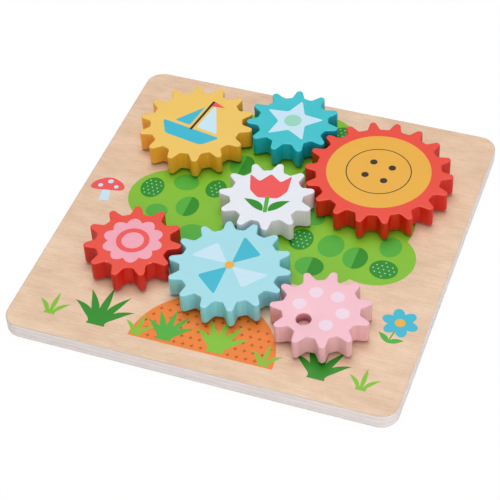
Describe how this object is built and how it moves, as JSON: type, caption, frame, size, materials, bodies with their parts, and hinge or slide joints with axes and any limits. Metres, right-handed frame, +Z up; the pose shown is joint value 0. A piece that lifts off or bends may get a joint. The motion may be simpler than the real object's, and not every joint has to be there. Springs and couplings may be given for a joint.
{
  "type": "wooden gear toy",
  "caption": "Square plywood board with brightly painted wooden gears in mesh on pegs; a finger in the hole of one gear cranks the whole train, and the gears lift off.",
  "frame": {"origin": "centre of the board's underside", "axes": "+Z up, square to the board; -Y towards the board's front edge, beside the crank gear; +X to the right"},
  "size_m": [0.228, 0.228, 0.0243],
  "materials": {
    "birch_plywood": "pale plywood, clear satin varnish, whitewashed edge",
    "beech": "sanded bare wood",
    "red_paint": "satin paint on wood",
    "teal_paint": "satin paint on wood",
    "yellow_paint": "satin paint on wood",
    "white_paint": "satin paint on wood",
    "light_blue_paint": "satin paint on wood",
    "pink_paint": "satin paint on wood",
    "lime_print": "printed ink",
    "green_print": "printed ink",
    "orange_print": "printed ink",
    "amber_print": "printed ink",
    "blue_print": "printed ink",
    "pale_print": "printed ink",
    "coral_print": "printed ink",
    "rose_print": "printed ink",
    "brown_print": "printed ink"
  },
  "bodies": {
    "base": {"base_board": "birch_plywood", "large_red_peg": "beech", "teal_peg": "beech", "yellow_peg": "beech", "white_peg": "beech", "light_blue_peg": "beech", "small_red_peg": "beech", "pink_crank_peg": "beech"},
    "large_red_washer_body": {"large_red_washer": "beech"},
    "large_red_gear_body": {"large_red_gear": "red_paint"},
    "teal_washer_body": {"teal_washer": "beech"},
    "teal_gear_body": {"teal_gear": "teal_paint"},
    "yellow_washer_body": {"yellow_washer": "beech"},
    "yellow_gear_body": {"yellow_gear": "yellow_paint"},
    "white_washer_body": {"white_washer": "beech"},
    "white_gear_body": {"white_gear": "white_paint"},
    "light_blue_washer_body": {"light_blue_washer": "beech"},
    "light_blue_gear_body": {"light_blue_gear": "light_blue_paint"},
    "small_red_washer_body": {"small_red_washer": "beech"},
    "small_red_gear_body": {"small_red_gear": "red_paint"},
    "pink_crank_washer_body": {"pink_crank_washer": "beech"},
    "pink_crank_gear_body": {"pink_crank_gear": "pink_paint"}
  },
  "joints": [
    {"name": "large_red_spin", "type": "hinge", "parent": "base", "child": "large_red_washer_body", "pos_m": [0.0563, 0.0507, 0.01], "axis": [0, 0, 1], "continuous": true},
    {"name": "large_red_lift", "type": "slide", "parent": "large_red_washer_body", "child": "large_red_gear_body", "axis": [0, 0, 1], "range_m": [0, 0.025]},
    {"name": "teal_spin", "type": "hinge", "parent": "base", "child": "teal_washer_body", "pos_m": [-0.00634, 0.07872, 0.01], "axis": [0, 0, 1], "continuous": true},
    {"name": "teal_lift", "type": "slide", "parent": "teal_washer_body", "child": "teal_gear_body", "axis": [0, 0, 1], "range_m": [0, 0.025]},
    {"name": "yellow_spin", "type": "hinge", "parent": "base", "child": "yellow_washer_body", "pos_m": [-0.06219, 0.0597, 0.01], "axis": [0, 0, 1], "continuous": true},
    {"name": "yellow_lift", "type": "slide", "parent": "yellow_washer_body", "child": "yellow_gear_body", "axis": [0, 0, 1], "range_m": [0, 0.025]},
    {"name": "white_spin", "type": "hinge", "parent": "base", "child": "white_washer_body", "pos_m": [-0.0001, 0.01179, 0.01], "axis": [0, 0, 1], "continuous": true},
    {"name": "white_lift", "type": "slide", "parent": "white_washer_body", "child": "white_gear_body", "axis": [0, 0, 1], "range_m": [0, 0.025]},
    {"name": "light_blue_spin", "type": "hinge", "parent": "base", "child": "light_blue_washer_body", "pos_m": [-0.00123, -0.0472, 0.01], "axis": [0, 0, 1], "continuous": true},
    {"name": "light_blue_lift", "type": "slide", "parent": "light_blue_washer_body", "child": "light_blue_gear_body", "axis": [0, 0, 1], "range_m": [0, 0.025]},
    {"name": "small_red_spin", "type": "hinge", "parent": "base", "child": "small_red_washer_body", "pos_m": [-0.06042, -0.04565, 0.01], "axis": [0, 0, 1], "continuous": true},
    {"name": "small_red_lift", "type": "slide", "parent": "small_red_washer_body", "child": "small_red_gear_body", "axis": [0, 0, 1], "range_m": [0, 0.025]},
    {"name": "pink_crank_spin", "type": "hinge", "parent": "base", "child": "pink_crank_washer_body", "pos_m": [0.05757, -0.06307, 0.01], "axis": [0, 0, 1], "continuous": true},
    {"name": "pink_crank_lift", "type": "slide", "parent": "pink_crank_washer_body", "child": "pink_crank_gear_body", "axis": [0, 0, 1], "range_m": [0, 0.025]}
  ],
  "couplings": [
    {"joint": "teal_spin", "follows": "large_red_spin", "ratio": -1.6364},
    {"joint": "yellow_spin", "follows": "large_red_spin", "ratio": 1.2857},
    {"joint": "white_spin", "follows": "large_red_spin", "ratio": -1.6364},
    {"joint": "light_blue_spin", "follows": "large_red_spin", "ratio": 1.2857},
    {"joint": "small_red_spin", "follows": "large_red_spin", "ratio": -1.6364},
    {"joint": "pink_crank_spin", "follows": "large_red_spin", "ratio": -1.6364}
  ]
}
